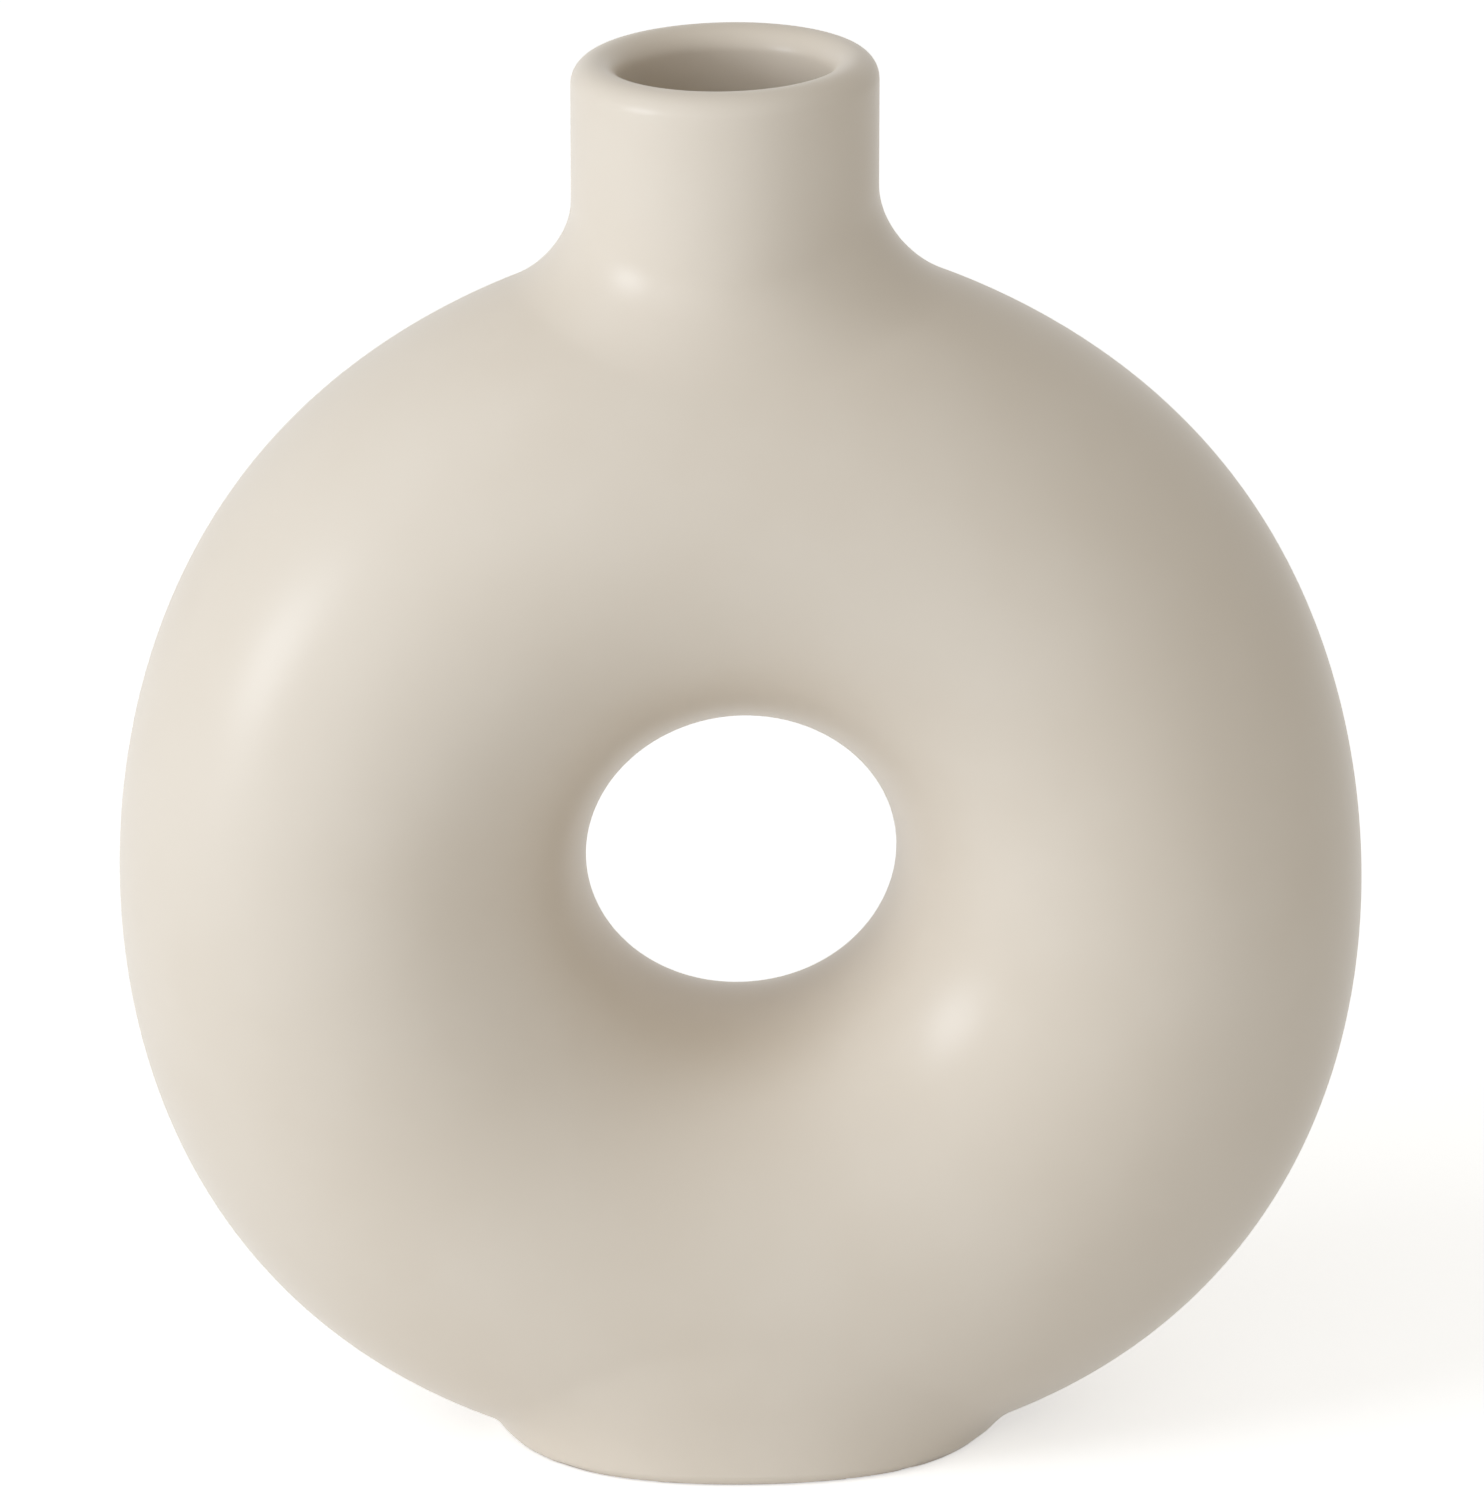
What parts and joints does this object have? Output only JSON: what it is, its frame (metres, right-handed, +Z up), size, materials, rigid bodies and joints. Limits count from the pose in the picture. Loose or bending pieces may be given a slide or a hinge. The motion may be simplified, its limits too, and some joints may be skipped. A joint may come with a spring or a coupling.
{
  "type": "donut vase",
  "caption": "Upright ring-shaped ceramic vase with a round hole, a short neck with a rounded lip and a low oval foot, for a few stems or dried grasses.",
  "frame": {"origin": "on the foot's underside, under the ring's centre", "axes": "+Z up along the neck, Y through the ring's hole with the front towards -Y, +X to the right seen from the front"},
  "size_m": [0.1703, 0.064, 0.1954],
  "materials": {
    "glazed_clay": "satin cream glaze",
    "foot_clay": "satin cream glaze, bare clay underneath",
    "slip_clay": "fired slip under the same glaze"
  },
  "bodies": {
    "root": {"ring_front_half": "glazed_clay", "ring_back_half": "glazed_clay", "neck": "glazed_clay", "foot": "foot_clay", "slip_seam_left": "slip_clay", "slip_seam_right": "slip_clay", "slip_seam_hole": "slip_clay", "slip_neck": "slip_clay", "slip_foot": "slip_clay"}
  },
  "joints": []
}
